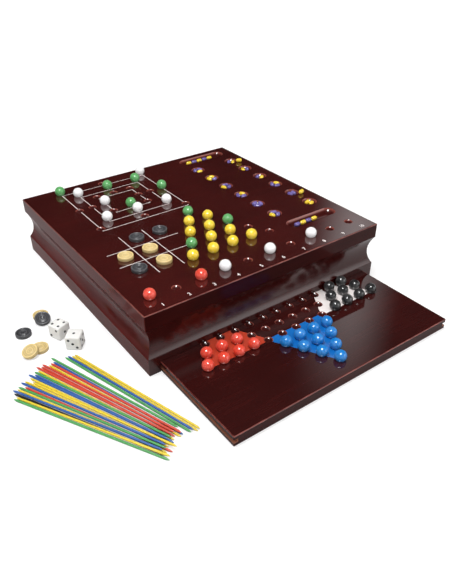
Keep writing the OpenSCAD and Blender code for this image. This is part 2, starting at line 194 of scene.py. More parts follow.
class CompendiumPrint(bpy.types.PropertyGroup):
    """Sizes of what is printed on the lacquer"""
    line: millimetres("Line", "Width of a printed line", 0.95)
    film: millimetres("Film", "Height of the print over the lacquer", 0.06)
    slip: millimetres("Slip", "How far the printed squares lie in front of their holes", 6.6)
    square: millimetres("Grid square", "Side of a square of the noughts and crosses grid", 31.6)
    digit: millimetres("Digit", "Height of the numbers", 5)
    spread: millimetres("Spread", "How far the painted points reach past their dimples", 1.5)


class CompendiumColours(bpy.types.PropertyGroup):
    """Colours of the finishes"""
    mahogany: colour("Mahogany", "The lacquered wood", 0.037, 0.004, 0.0034)
    glow: colour("Glow", "The lacquered wood's lighter streaks", 0.066, 0.0062, 0.005)
    # Painted highlight: a paler red for the upper walls of hollows and the rounded arrises, as
    # the light they catch
    edge: colour("Edge", "Where the lacquer is thin, at rims and arrises", 0.24, 0.06, 0.045)
    raw: colour("Raw wood", "Unfinished wood", 0.36, 0.13, 0.065)
    raw_dark: colour("Raw grain", "The grain of unfinished wood", 0.2, 0.06, 0.03)
    red: colour("Red", "Red marbles", 0.78, 0.06, 0.03)
    blue: colour("Blue", "Blue marbles", 0.002, 0.2, 0.6)
    green: colour("Green", "Green marbles", 0.1, 0.38, 0.11)
    yellow: colour("Yellow", "Yellow marbles and stones", 0.93, 0.66, 0.03)
    white: colour("White", "White marbles", 0.92, 0.905, 0.91)
    bone: colour("Bone", "The dice", 0.86, 0.85, 0.82)
    black: colour("Black", "Black pieces", 0.011, 0.011, 0.012)
    violet: colour("Violet", "Violet stones", 0.15, 0.11, 0.37)
    natural: colour("Natural", "Natural wood of the draughts", 0.74, 0.56, 0.24)
    print: colour("Print", "Printed lines, numbers and the white point", 0.95, 0.88, 0.86)
    red_paint: colour("Red paint", "The star's red point", 0.5, 0.05, 0.022)
    blue_paint: colour("Blue paint", "The star's blue point", 0.005, 0.15, 0.5)
    blue_dye: colour("Blue dye", "Blue sticks", 0.03, 0.12, 0.42)
    green_dye: colour("Green dye", "Green sticks", 0.08, 0.38, 0.1)
    yellow_dye: colour("Yellow dye", "Yellow sticks", 0.8, 0.6, 0.03)
    red_dye: colour("Red dye", "Red sticks", 0.66, 0.06, 0.03)


# Materials


class Wire:
    """A socket of a material's nodes, so that maths on it is written as an expression"""

    def __init__(self, finish, socket):
        self.finish = finish
        self.socket = socket

    def __add__(self, other):
        return self.finish.maths("ADD", self, other)

    def __sub__(self, other):
        return self.finish.maths("SUBTRACT", self, other)

    def __rsub__(self, other):
        return self.finish.maths("SUBTRACT", other, self)

    def __mul__(self, other):
        return self.finish.maths("MULTIPLY", self, other)

    def __abs__(self):
        return self.finish.maths("ABSOLUTE", self)

    __radd__ = __add__
    __rmul__ = __mul__

    def larger(self, other):
        """The larger of two values"""
        return self.finish.maths("MAXIMUM", self, other)

    def between(self, low, high):
        """From 0 to 1 as the value goes from low to high, with soft ends"""
        return self.finish.node("ShaderNodeMapRange", {"interpolation_type": "SMOOTHSTEP"},
            {"Value": self, "From Min": low, "From Max": high})

    def near(self, reach, soft=0.00005):
        """1 where the value is less than that reach from 0, with a fine soft edge"""
        return abs(self).between(reach + soft, reach - soft)


class Finish:
    """A material or a world, and the nodes that make it"""

    def __init__(self, name, world=None):
        self.material = world or bpy.data.materials.new(name)
        self.material.use_nodes = True
        self.tree = self.material.node_tree
        self.tree.nodes.clear()

    def node(self, kind, settings=None, inputs=None, output=0):
        """A new node with its settings, then the values or links of its sockets"""
        made = self.tree.nodes.new(kind)
        for key, value in (settings or {}).items():
            setattr(made, key, value)
        for key, value in (inputs or {}).items():
            if isinstance(value, Wire):
                self.tree.links.new(value.socket, made.inputs[key])
            else:
                made.inputs[key].default_value = value
        return Wire(self, made.outputs[output])

    def maths(self, operation, *values):
        """One step of maths on values or on sockets"""
        return self.node("ShaderNodeMath", {"operation": operation}, dict(enumerate(values)))

    def place(self):
        """Where a point is on the piece, in metres"""
        return self.node("ShaderNodeTexCoord", output="Object")

    def along(self, place, axis):
        """One of a place's three coordinates"""
        return self.node("ShaderNodeSeparateXYZ", inputs={0: place}, output="XYZ".index(axis))

    def noise(self, place, size, stretch=(1, 1, 1), detail=3):
        """Cloudy noise from 0 to 1, its clouds about size metres across"""
        scaled = self.node("ShaderNodeMapping", {"vector_type": "POINT"},
            {"Vector": place, "Scale": tuple(1 / (size * s) for s in stretch)})
        return self.node("ShaderNodeTexNoise", inputs={"Vector": scaled, "Scale": 1.0,
            "Detail": detail, "Roughness": 0.55})

    def blend(self, share, first, second):
        """A colour between two others, which are the Mix node's sockets 6 and 7"""
        pair = [c if isinstance(c, Wire) else (*c, 1) for c in (first, second)]
        return self.node("ShaderNodeMix", {"data_type": "RGBA"},
            {0: share, 6: pair[0], 7: pair[1]}, output=2)

    def bump(self, height, distance, strength=1.0):
        """A relief, its height from 0 to 1 over that distance in metres"""
        return self.node("ShaderNodeBump", inputs={"Height": height, "Distance": distance,
            "Strength": strength})

    def toward(self, way, aim):
        """How much a direction goes toward an aim, from -1 to 1"""
        return self.node("ShaderNodeVectorMath", {"operation": "DOT_PRODUCT"},
            {0: way, 1: aim}, output=1)

    def for_ray(self, ray):
        """1 for that kind of ray, such as Is Camera Ray"""
        return self.node("ShaderNodeLightPath", output=ray)

    def surface(self, base, **sockets):
        """Ends the material in a surface with these sockets, their blanks written as _"""
        inputs = {key.replace("_", " "): value for key, value in sockets.items()}
        inputs["Base Color"] = base if isinstance(base, Wire) else (*base, 1)
        self.end(self.node("ShaderNodeBsdfPrincipled", inputs=inputs))
        return self.material

    def end(self, shader):
        """Joins the shader to the material's or the world's output"""
        kind = "World" if isinstance(self.material, bpy.types.World) else "Material"
        out = self.tree.nodes.new("ShaderNodeOutput" + kind)
        self.tree.links.new(shader.socket, out.inputs["Surface"])


# Finishes


def tints():
    """The colours that a user can change"""
    return bpy.context.scene.compendium_colours


def lacquer(name, grain, rim=None, prints=None, depth=1.9, haze=0.04, shade=1.0, sheen=0.1,
        cover=1.0):
    """Dark stained wood under clear lacquer, its grain along the axis that is named. A hollow's
    upper wall is painted paler as a painted highlight, given as its top's height and how far
    down it goes. A function can put prints on the wood. A deeper lacquer shines more, haze blurs
    what it mirrors, sheen is the wood's own shine, shade multiplies its colours, and cover is how
    whole the lacquer is."""
    finish = Finish(name)
    place = finish.place()
    long_way = tuple(14 if axis == grain else 1 for axis in "XYZ")
    streaks = finish.noise(place, 0.006, long_way, detail=4)
    pores = finish.noise(place, 0.0009, long_way, detail=2)
    clouds = finish.noise(place, 0.09, detail=2)
    share = streaks.between(0.42, 0.72) * 0.32 + clouds.between(0.35, 0.75) * 0.4
    stain, glow = (tuple(shade * c for c in tint) for tint in (tints().mahogany, tints().glow))
    wood = finish.blend(share, stain, glow)
    dark = tuple(0.45 * c for c in stain)
    wood = finish.blend(pores.between(0.62, 0.74) * 0.5, wood, dark)
    # Painted highlight: a hollow's upper wall is painted in the paler edge colour, fading out
    # further down, as the light it catches
    if rim:
        top, reach = rim
        pale = finish.along(place, "Z").between(top - reach, top - 0.0001)
        wood = finish.blend(pale, wood, tints().edge)
    if prints:
        wood = prints(finish, place, wood)
    ripple = finish.noise(place, 0.011, detail=1)
    relief = finish.bump(ripple * 0.8 + pores * 0.2, 0.00002, 0.6)
    return finish.surface(wood, Roughness=0.36 + clouds * 0.1, Normal=relief,
        Specular_IOR_Level=sheen, Coat_Weight=cover, Coat_Roughness=haze, Coat_IOR=depth)


def satin(name, grain, depth=1.2, shade=0.65, haze=0.13):
    """The thinner lacquer of the sides. The left and right sides, where the grain runs front to
    back, are painted lighter and the front and back darker, as painted light and shade
    """
    # Painted light and shade: the left and right sides are painted lighter than the front and
    # back
    if grain == "Y":
        return lacquer(name, grain, depth=depth, haze=haze, shade=1.75, sheen=0, cover=0.8)
    return lacquer(name, grain, depth=depth, haze=haze, shade=shade, sheen=0)


def printed_lines(finish, place, wood):
    """The three squares and the noughts and crosses grid, printed on the wood"""
    ink = bpy.context.scene.compendium_print
    x, y = finish.along(place, "X"), finish.along(place, "Y")
    line = ink.line / 2
    middle = game_centre("morris")
    reach = abs(x - middle[0]).larger(abs(y - (middle[1] - ink.slip)))
    mark = 0
    for half in half_squares():
        mark = (reach - half).near(line) + mark
    across, along = (abs(part - centre) for part, centre in zip((x, y), game_centre("grid")))
    pitch = ink.square / 2
    posts = (across - pitch).near(line) * along.near(3.06 * pitch)
    bars = (along - pitch).near(line) * across.near(3 * pitch)
    worn = finish.noise(place, 0.0008, detail=2).between(0.3, 0.5) * 0.14 + 0.7
    return finish.blend(mark.larger(posts).larger(bars) * worn, wood, tints().print)


def painted_points(finish, place, wood):
    """The six painted points of the star"""
    games = bpy.context.scene.compendium_games
    ink = bpy.context.scene.compendium_print
    paint = tints()
    x = finish.along(place, "X") - games.star_x
    y = finish.along(place, "Y") - star_middle()
    inner = games.star * POINT_ROWS * math.sin(math.radians(60))
    points = ((270, paint.blue_paint), (210, paint.red_paint), (330, paint.print),
        (150, paint.yellow), (90, paint.green), (30, paint.black))
    for bearing, tint in points:
        turn = math.radians(bearing)
        out = x * math.cos(turn) + y * math.sin(turn)
        across = abs(y * math.cos(turn) - x * math.sin(turn))
        side = (2 * inner + 2 * ink.spread - out) * math.tan(math.radians(30)) - across
        inside = (out - inner + ink.spread).between(0, 0.0001) * side.between(0, 0.0001)
        wood = finish.blend(inside * 0.97, wood, tint)
    return wood


def thin_lacquer():
    """Lacquer on a rounded edge, painted paler red as the highlight along it"""
    finish = Finish("lacquer_on_arrises")
    place = finish.place()
    patches = finish.noise(place, 0.012, detail=3).between(0.3, 0.75)
    wood = finish.blend(patches * 0.7 + 0.1, tints().glow, tints().edge)
    return finish.surface(wood, Roughness=0.32 + patches * 0.08, Coat_Weight=1.0,
        Specular_IOR_Level=0.2, Coat_Roughness=0.1, Coat_IOR=1.5)


def raw_wood(name, grain):
    """Unfinished reddish wood, its grain along the axis that is named"""
    finish = Finish(name)
    place = finish.place()
    long_way = tuple(18 if axis == grain else 1 for axis in "XYZ")
    streaks = finish.noise(place, 0.0022, long_way, detail=4)
    pores = finish.noise(place, 0.0006, long_way, detail=2)
    share = streaks.between(0.35, 0.7) * 0.75 + pores.between(0.55, 0.7) * 0.25
    wood = finish.blend(share, tints().raw, tints().raw_dark)
    return finish.surface(wood, Roughness=0.62 + streaks * 0.2,
        Normal=finish.bump(pores, 0.0001, 0.5))


def polished(name, tint, speck=0.1, roughness=0.3):
    """An opaque polished piece, a little cloudy, with the fine scuffs of play"""
    finish = Finish(name)
    place = finish.place()
    clouds = finish.noise(place, 0.009, detail=2)
    scuffs = finish.noise(place, 0.0014, (1, 3, 1), detail=4)
    pale = tuple(c + (1 - c) * 0.04 for c in tint)
    deep = tuple(c * (1 - speck) for c in tint)
    return finish.surface(finish.blend(clouds.between(0.3, 0.7), deep, pale),
        Roughness=roughness + scuffs.between(0.55, 0.75) * 0.06,
        Normal=finish.bump(scuffs, 0.000006, 0.3), Specular_IOR_Level=0.25, Coat_Weight=0.9,
        Coat_Roughness=0.18, Coat_IOR=1.5)


def printed(name, tint):
    """Screen-printed paint, under the last coat of lacquer"""
    finish = Finish(name)
    weave = finish.noise(finish.place(), 0.0007, detail=2)
    thin = tuple(c * 0.9 for c in tint)
    return finish.surface(finish.blend(weave.between(0.45, 0.65), tint, thin),
        Roughness=0.4 + weave * 0.1, Coat_Weight=0.8, Coat_Roughness=0.06, Coat_IOR=1.6)


def turned_wood(name, tint, grain_and_shade_depth, roughness):
    """Fine-grained wood that was turned, painted darker down in its rings as painted shade"""
    finish = Finish(name)
    place = finish.place()
    grain = finish.noise(place, 0.0016, (1, 9, 1), detail=4)
    pores = finish.noise(place, 0.0005, (1, 5, 1), detail=2)
    # Painted shade: the grooves of the rings are painted darker than the lands
    hollow = 1 - finish.node("ShaderNodeAttribute", {"attribute_name": "land"},
        output=2).between(0.74, 0.98)
    dark = tuple(c * (1 - grain_and_shade_depth) for c in tint)
    share = hollow * 0.8 + grain.between(0.35, 0.7) * 0.2
    return finish.surface(finish.blend(share, tint, dark),
        Roughness=roughness + pores * 0.12, Normal=finish.bump(pores, 0.00006, 0.5),
        Coat_Weight=0.35, Coat_Roughness=0.2)


def dyed_wood(name, tint):
    """Stick wood with a dye that the grain takes unevenly"""
    finish = Finish(name)
    place = finish.place()
    grain = finish.noise(place, 0.0008, (1, 26, 1), detail=3)
    worn = finish.noise(place, 0.02, detail=2)
    deep = tuple(c * 0.62 for c in tint)
    pale = tuple(c + (1 - c) * 0.12 for c in tint)
    dye = finish.blend(grain.between(0.4, 0.7) * 0.6, tint, deep)
    dye = finish.blend(worn.between(0.6, 0.8) * 0.5, dye, pale)
    return finish.surface(dye, Roughness=0.42 + grain * 0.15,
        Normal=finish.bump(grain, 0.00004, 0.4), Coat_Weight=0.3, Coat_Roughness=0.2)


# Shapes


def solids(node):
    """The corners of each separate solid of a construction node, as arrays"""
    shape = bmesh.new()
    shape.from_mesh(frame["nodes"][node].data)
    bmesh.ops.remove_doubles(shape, verts=shape.verts, dist=MERGE)
    left, found = set(shape.verts), []
    while left:
        reached = [left.pop()]
        for corner in reached:
            for edge in corner.link_edges:
                other = edge.other_vert(corner)
                if other in left:
                    left.remove(other)
                    reached.append(other)
        found.append(np.array([corner.co for corner in reached]))
    shape.free()
    return sorted(found, key=lambda corners: tuple(np.round(corners.min(0), 5)))


def lie_of(corners, kind):
    """Where a round solid lies, as a matrix with Z along its own axis, and how long it is along
    that axis, which is the longest way through a rod and the shortest through a disc"""
    middle = corners.mean(0)
    ways = np.linalg.eigh(np.cov((corners - middle).T))[1]
    axis = ways[:, 0] if kind == "disc" else ways[:, 2]
    axis = Vector(axis * (1 if axis[2] >= 0 else -1))
    turn = axis.to_track_quat("Z", "Y").to_matrix()
    local = (corners - middle) @ np.array(turn)
    low, high = local.min(0), local.max(0)
    centre = Vector(middle) + turn @ Vector((low + high) / 2)
    return Matrix.Translation(centre) @ turn.to_4x4(), high[2] - low[2]


def rods(node):
    """Where the rods of a construction node lie, and how long they are"""
    return zip(*[lie_of(corners, "rod") for corners in solids(node)])


def mesh_of(name, shape):
    """A mesh of a finished shape"""
    mesh = bpy.data.meshes.new(name)
    shape.to_mesh(mesh)
    shape.free()
    return mesh


def placed(name, data):
    """A new object in the scene"""
    made = bpy.data.objects.new(name, data)
    bpy.context.scene.collection.objects.link(made)
    return made


def evaluated(thing):
    """A mesh of a text, or of a piece with its modifiers applied"""
    bpy.context.view_layer.update()
    seen = thing.evaluated_get(bpy.context.evaluated_depsgraph_get())
    return bpy.data.meshes.new_from_object(seen)


def shown(name, shape, body, finishes, replaced=(), sharp=30):
    """Makes a shape a finished piece that rides on a body"""
    mesh = mesh_of(name, shape)
    piece = placed(name, mesh)
    for finish in finishes:
        mesh.materials.append(finish)
    smooth(mesh, sharp)
    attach(piece, body)
    if replaced:
        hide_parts(*replaced)
    return piece


def smooth(mesh, sharp=30):
    """Shades a mesh smooth, but for its edges over that many degrees"""
    mesh.shade_smooth()
    mesh.set_sharp_from_angle(angle=math.radians(sharp))


def cut(piece, shape, finish, sharp=30):
    """Cuts a shape out of a piece, the new faces in that finish"""
    mesh = mesh_of("cutter", shape)
    mesh.materials.append(finish)
    tool = placed("cutter", mesh)
    modifier = piece.modifiers.new("cut", "BOOLEAN")
    modifier.object = tool
    modifier.operation = "DIFFERENCE"
    modifier.solver = "EXACT"
    modifier.material_mode = "TRANSFER"
    made = evaluated(piece)
    piece.modifiers.remove(modifier)
    old = piece.data
    piece.data = made
    bpy.data.meshes.remove(old)
    made.name = piece.name
    bpy.data.objects.remove(tool)
    bpy.data.meshes.remove(mesh)
    smooth(made, sharp)
    if len(made.polygons) < 6:
        raise RuntimeError(f"{piece.name} was lost in its cut")


def even_light(piece):
    """Keeps the flat faces flat in the light, beside their rounded edges"""
    weighted = piece.modifiers.new("even_light", "WEIGHTED_NORMAL")
    weighted.keep_sharp = True


def slab(low, high, arris=0, segments=3):
    """A block between two corners, its edges rounded"""
    shape = bmesh.new()
    low, high = Vector(low), Vector(high)
    size = Matrix.Diagonal((*(high - low), 1))
    bmesh.ops.create_cube(shape, size=1, matrix=Matrix.Translation((low + high) / 2) @ size)
    if arris:
        bmesh.ops.bevel(shape, geom=shape.edges, offset=arris, segments=segments, profile=0.5,
            affect="EDGES", material=-1)
    return shape


def ball(radius, u=40, v=20, turn=Matrix()):
    """One ball, as a shape to copy"""
    shape = bmesh.new()
    bmesh.ops.create_uvsphere(shape, u_segments=u, v_segments=v, radius=radius, matrix=turn)
    return shape


def copies(one, places, shape=None):
    """Copies of one shape at several places, joined into a single shape"""
    shape = shape or bmesh.new()
    mesh = mesh_of("copy", one)
    for place in places:
        moved = mesh.copy()
        moved.transform(place)
        shape.from_mesh(moved)
        bpy.data.meshes.remove(moved)
    bpy.data.meshes.remove(mesh)
    return shape


def dimples(places, top):
    """Seats for marbles in a surface at that height"""
    games = bpy.context.scene.compendium_games
    rise = games.marble / 2 - games.sink
    return copies(ball(games.marble / 2 + games.seat),
        [Matrix.Translation((x, y, top + rise)) for x, y in places])


# Where the holes are


def star_middle():
    """How far back the star's centre is"""
    box, games = bpy.context.scene.compendium_box, bpy.context.scene.compendium_games
    return -box.side / 2 - box.pull + (box.side - box.inset) / 2 + games.star_y


def star_holes():
    """The star's holes, by rows from its front point"""
    games = bpy.context.scene.compendium_games
    middle = star_middle()
    step = games.star * math.sin(math.radians(60))
    reach = range(-2 * POINT_ROWS, 2 * POINT_ROWS + 1)
    return [(games.star_x + (column + row / 2) * games.star, middle + row * step)
        for row in reach for column in reach
        if min(column, row, -column - row) >= -POINT_ROWS
        or max(column, row, -column - row) <= POINT_ROWS]


def half_squares():
    """Half the side of each of the three squares, from the inner one"""
    games = bpy.context.scene.compendium_games
    return [games.morris_inner + ring * games.morris_step for ring in range(3)]


def square_holes():
    """The holes of the three squares, at their corners and the middles of their sides"""
    x, y = game_centre("morris")
    return [(x + across * half, y + along * half) for half in half_squares()
        for across in (-1, 0, 1) for along in (-1, 0, 1) if across or along]


def game_centre(game):
    """Where a game is on the top, from the box's centre"""
    half = bpy.context.scene.compendium_box.side / 2
    return {"morris": (MORRIS_X, half - MORRIS_FROM_BACK),
        "triangle": (TRIANGLE_X, -half + TRIANGLE_FROM_FRONT),
        "row": (ROW_X, -half + ROW_FROM_FRONT),
        "mancala": (half - MANCALA_FROM_RIGHT, MANCALA_Y),
        "grid": (-half + GRID_FROM_LEFT, -half + GRID_FROM_FRONT)}[game]


def triangle_holes():
    """The holes of the triangle, five in its front row"""
    games = bpy.context.scene.compendium_games
    x, y = game_centre("triangle")
    step = games.triangle * math.sin(math.radians(60))
    return [(x + (column - (4 - row) / 2) * games.triangle, y + row * step)
        for row in range(5) for column in range(5 - row)]


def row_holes():
    """The ten holes of the number row, from the left"""
    games = bpy.context.scene.compendium_games
    x, y = game_centre("row")
    return [(x + (n - 4.5) * games.row, y) for n in range(10)]


def pits():
    """The middles of the twelve pits, in two columns"""
    games = bpy.context.scene.compendium_games
    x, y = game_centre("mancala")
    return [(x + side * games.columns / 2, y + (n - 2.5) * games.pit_step)
        for side in (-1, 1) for n in range(6)]


def stores():
    """The middles of the two stores, one past each end of the columns"""
    games = bpy.context.scene.compendium_games
    x, y = game_centre("mancala")
    step = 2.5 * games.pit_step + games.store_step
    return [(x, y + side * step) for side in (-1, 1)]


# Operators


class COMPENDIUM_OT_panel(bpy.types.Operator):
    """The games panel with its dimples, pits and stores"""
    bl_idname = "compendium.panel"
    bl_label = "Games panel"
    bl_options = {"REGISTER", "UNDO"}

    def execute(self, context):
        box = context.scene.compendium_box
        games = context.scene.compendium_games
        half = box.side / 2
        shape = slab((-half, -half, box.height - box.panel), (half, half, box.height))
        middle = box.height - box.panel / 2
        upper = [e for e in shape.edges if max(v.co.z for v in e.verts) > middle]
        bmesh.ops.bevel(shape, geom=upper, offset=box.arris, segments=4, profile=0.5,
            affect="EDGES", material=1)
        # The rounded arrises are painted paler red as a painted highlight. The fascia is painted
        # darker at the front and back and lighter at the sides, as painted shade and light
        panel = shown("games_panel", shape, "box",
            [lacquer("lacquered_top", "X", prints=printed_lines), thin_lacquer(),
             raw_wood("raw_panel", "X"), satin("lacquered_fascia_x", "X"),
             satin("lacquered_fascia_y", "Y")], ["top_panel"])
        for face in panel.data.polygons:
            if face.normal.z < -0.9:
                face.material_index = 2
            elif abs(face.normal.z) < 0.1:
                face.material_index = 3 if abs(face.normal.y) > 0.9 else 4
        cut(panel, dimples(square_holes() + triangle_holes() + row_holes(), box.height),
            lacquer("lacquered_dimples", "X", (box.height, DIMPLE_HIGHLIGHT), depth=HOLLOW_DEPTH))
        bowl = (games.pit ** 2 + games.pit_depth ** 2) / (2 * games.pit_depth)
        lift = box.height + bowl - games.pit_depth
        holes = copies(ball(bowl, 56, 36), [Matrix.Translation((x, y, lift))
            for x, y in pits()])
        run = games.store / 2 - games.pit
        trough = ball(bowl, 56, 35, Matrix.Rotation(math.pi / 2, 4, "Y"))
        for corner in trough.verts:
            corner.co.x += run if corner.co.x > 0 else -run
        copies(trough, [Matrix.Translation((x, y, lift)) for x, y in stores()], holes)
        cut(panel, holes,
            lacquer("lacquered_pits", "X", (box.height, PIT_HIGHLIGHT), depth=HOLLOW_DEPTH))
        even_light(panel)
        return {"FINISHED"}


def moulding_shape(box, turn):
    """A coved moulding with mitred ends, made along the front and turned to its own side"""
    half = box.side / 2
    inner = half - box.moulding
    high = box.height - box.panel
    cove_h = high - box.plinth
    cove_r = (cove_h ** 2 / 4 + box.cove ** 2) / (2 * box.cove)
    shape = bmesh.new()
    start = shape.verts.new((-half, -half, box.plinth))
    middle = (-half, -half + box.cove - cove_r, box.plinth + cove_h / 2)
    swung = bmesh.ops.spin(shape, geom=[start], cent=middle, axis=(1, 0, 0), dvec=(0, 0, 0),
        angle=2 * math.asin(cove_h / 2 / cove_r), steps=COVE_STEPS, use_merge=False)
    corners = [shape.verts.new((-half, y, z)) for y, z in (
        (-half + 2 * LIP, high + LIP), (-inner, high + LIP), (-inner, 0), (-half, 0))]
    for first, second in zip([swung["geom_last"][0], *corners], [*corners, start]):
        shape.edges.new((first, second))
    face = bmesh.ops.contextual_create(shape, geom=shape.edges)["faces"]
    far = bmesh.ops.extrude_face_region(shape, geom=face)["geom"]
    bmesh.ops.translate(shape, vec=(box.side, 0, 0),
        verts=[g for g in far if isinstance(g, bmesh.types.BMVert)])
    bmesh.ops.recalc_face_normals(shape, faces=shape.faces)
    outer = [e for e in shape.edges
        if abs(e.verts[0].co.x - e.verts[1].co.x) > half
        and max(v.co.y for v in e.verts) < -inner - SOFTENED
        and max(v.co.z for v in e.verts) < high - SOFTENED
        and e.calc_face_angle(0) > 0.3]
    bmesh.ops.bevel(shape, geom=outer, offset=SOFTENED, segments=3, profile=0.5,
        affect="EDGES", material=-1)
    for hand in (-1, 1):
        cap = bmesh.ops.bisect_plane(shape, geom=[*shape.verts, *shape.edges, *shape.faces],
            plane_co=(hand * half, -half, 0), plane_no=(hand, 1, 0), clear_outer=True)
        rim = [g for g in cap["geom_cut"] if isinstance(g, bmesh.types.BMEdge)]
        bmesh.ops.contextual_create(shape, geom=rim)
    bmesh.ops.recalc_face_normals(shape, faces=shape.faces)
    bmesh.ops.rotate(shape, verts=shape.verts, cent=(0, 0, 0),
        matrix=Matrix.Rotation(math.radians(turn), 3, "Z"))
    return shape


class COMPENDIUM_OT_mouldings(bpy.types.Operator):
    """The four coved mouldings, mitred at the corners and rebated for the board"""
    bl_idname = "compendium.mouldings"
    bl_label = "Mouldings"
    bl_options = {"REGISTER", "UNDO"}

    def execute(self, context):
        box = context.scene.compendium_box
        half, gap = box.side / 2, box.clearance
        # The front and back mouldings are painted darker and the left and right ones lighter, as
        # painted shade and light
        finishes = {"X": satin("lacquered_moulding_x", "X", depth=1.48, shade=0.8, haze=0.2),
            "Y": satin("lacquered_moulding_y", "Y")}
        bare = {axis: raw_wood("raw_moulding_" + axis.lower(), axis) for axis in "XY"}
        for side, turn in (("front", 0), ("right", 90), ("back", 180), ("left", 270)):
            axis = "X" if turn % 180 == 0 else "Y"
            piece = shown(side + "_coved_moulding", moulding_shape(box, turn), "box",
                [finishes[axis], bare[axis]], [side + "_moulding"])
            for face in piece.data.polygons:
                toward = Vector((face.center.x, face.center.y, 0)).normalized()
                if face.normal.dot(toward) < -0.5 or abs(face.normal.z) > 0.99:
                    face.material_index = 1
            bay = slab((-half + box.inset - gap, -half - PAST, -PAST),
                (half - box.inset + gap, half - box.inset + gap, box.lift * 2 + box.board))
            cut(piece, bay, bare[axis])
            if axis == "Y":
                cut(piece, slab(*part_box(side + "_runner")), bare[axis])
            even_light(piece)
        return {"FINISHED"}


class COMPENDIUM_OT_hidden_wood(bpy.types.Operator):
    """The runners and the glue blocks, which keep their construction shapes"""
    bl_idname = "compendium.hidden_wood"
    bl_label = "Runners and glue blocks"
    bl_options = {"REGISTER", "UNDO"}

    def execute(self, context):
        for node, grain in (("left_runner", "Y"), ("right_runner", "Y"), ("corner_blocks", "Z")):
            mesh = frame["nodes"][node].data
            mesh.materials.clear()
            mesh.materials.append(raw_wood("raw_" + node, grain))
        return {"FINISHED"}


class COMPENDIUM_OT_board(bpy.types.Operator):
    """The sliding board with its grooved edges and the star of dimples"""
    bl_idname = "compendium.board"
    bl_label = "Sliding board"
    bl_options = {"REGISTER", "UNDO"}

    def execute(self, context):
        box = context.scene.compendium_box
        wide = box.side / 2 - box.inset
        front = -box.side / 2 - box.pull
        back = front + box.side - box.inset
        top = box.lift + box.board
        shape = slab((-wide, front, box.lift), (wide, back, top))
        bmesh.ops.bevel(shape, geom=shape.edges, offset=box.arris, segments=4, profile=0.5,
            affect="EDGES", material=1)
        # The board's rounded arrises are painted paler red as a painted highlight, and its edges
        # are painted darker, like the front and back sides
        board = shown("star_board", shape, "board",
            [lacquer("lacquered_board", "X", prints=painted_points, depth=1.65, shade=0.72),
             thin_lacquer(), satin("lacquered_board_edge", "X")], ["sliding_board"])
        for face in board.data.polygons:
            if abs(face.normal.z) < 0.1:
                face.material_index = 2
        middle = box.lift + box.board / 2
        deep, tall = box.groove_depth, box.groove / 2
        for hand in (-1, 1):
            edge = sorted((hand * (wide - deep), hand * (wide + deep)))
            groove = slab((edge[0], front - PAST, middle - tall),
                (edge[1], back + PAST, middle + tall))
            cut(board, groove, raw_wood("raw_groove", "Y"))
        cut(board, dimples(star_holes(), top),
            lacquer("lacquered_star_dimples", "X", (top, STAR_HIGHLIGHT), depth=HOLLOW_DEPTH))
        even_light(board)
        return {"FINISHED"}


class COMPENDIUM_OT_numbers(bpy.types.Operator):
    """The numbers from 1 to 10 beside the row of holes"""
    bl_idname = "compendium.numbers"
    bl_label = "Numbers"
    bl_options = {"REGISTER", "UNDO"}

    def execute(self, context):
        box = context.scene.compendium_box
        ink = context.scene.compendium_print
        shape = bmesh.new()
        for number, (x, y) in enumerate(row_holes(), 1):
            text = bpy.data.curves.new("number", "FONT")
            text.body = str(number)
            text.size = ink.digit * FONT_SIZE
            text.align_x = "CENTER"
            text.extrude = ink.film / 2
            text.resolution_u = 6
            text.offset = THICKENED
            writing = placed("number", text)
            flat = evaluated(writing)
            flat.transform(Matrix.Translation((x + NUMBER_RIGHT,
                y - NUMBER_BEFORE - ink.digit / 2, box.height + ink.film / 6)))
            shape.from_mesh(flat)
            bpy.data.objects.remove(writing)
            bpy.data.curves.remove(text)
            bpy.data.meshes.remove(flat)
        bmesh.ops.remove_doubles(shape, verts=shape.verts, dist=MERGE)
        shown("numbers", shape, "box", [printed("printed_numbers", tints().print)])
        return {"FINISHED"}


class COMPENDIUM_OT_marbles(bpy.types.Operator):
    """The marbles of the star, the squares, the triangle and the number row"""
    bl_idname = "compendium.marbles"
    bl_label = "Marbles"
    bl_options = {"REGISTER", "UNDO"}

    def execute(self, context):
        games = context.scene.compendium_games
        for node, body, tint in nodes_of("marbles"):
            one = bmesh.new()
            bmesh.ops.create_icosphere(one, subdivisions=4, radius=games.marble / 2)
            shape = copies(one, [Matrix.Translation((corners.min(0) + corners.max(0)) / 2)
                for corners in solids(node)])
            piece = shown(node + "_polished", shape, body,
                [polished("marble_" + tint, getattr(tints(), tint))], [node])
            "marble_" + tint
        return {"FINISHED"}


def nodes_of(word):
    """The construction nodes with that word in their names, each with the body it rides on and
    the colour that its name ends in"""
    bodies = frame["record"]["behaviour"]["bodies"]
    return [(node, body, node.rsplit("_", 1)[1])
        for body, nodes in bodies.items() for node in nodes if word in node]


class COMPENDIUM_OT_stones(bpy.types.Operator):
    """The counting stones in the pits and stores"""
    bl_idname = "compendium.stones"
    bl_label = "Counting stones"
    bl_options = {"REGISTER", "UNDO"}

    def execute(self, context):
        games = context.scene.compendium_games
        for node, body, tint in nodes_of("stones"):
            places, lengths = rods(node)
            one = ball(games.stone / 2, 20, 13)
            reach = (lengths[0] - games.stone) / 2
            for corner in one.verts:
                corner.co.z += reach if corner.co.z > 0 else -reach
            shape = copies(one, places)
            piece = shown(node + "_glossy", shape, body,
                [polished("stone_" + tint, getattr(tints(), tint), 0.2, 0.2)], [node])
            "stone_" + tint
        return {"FINISHED"}


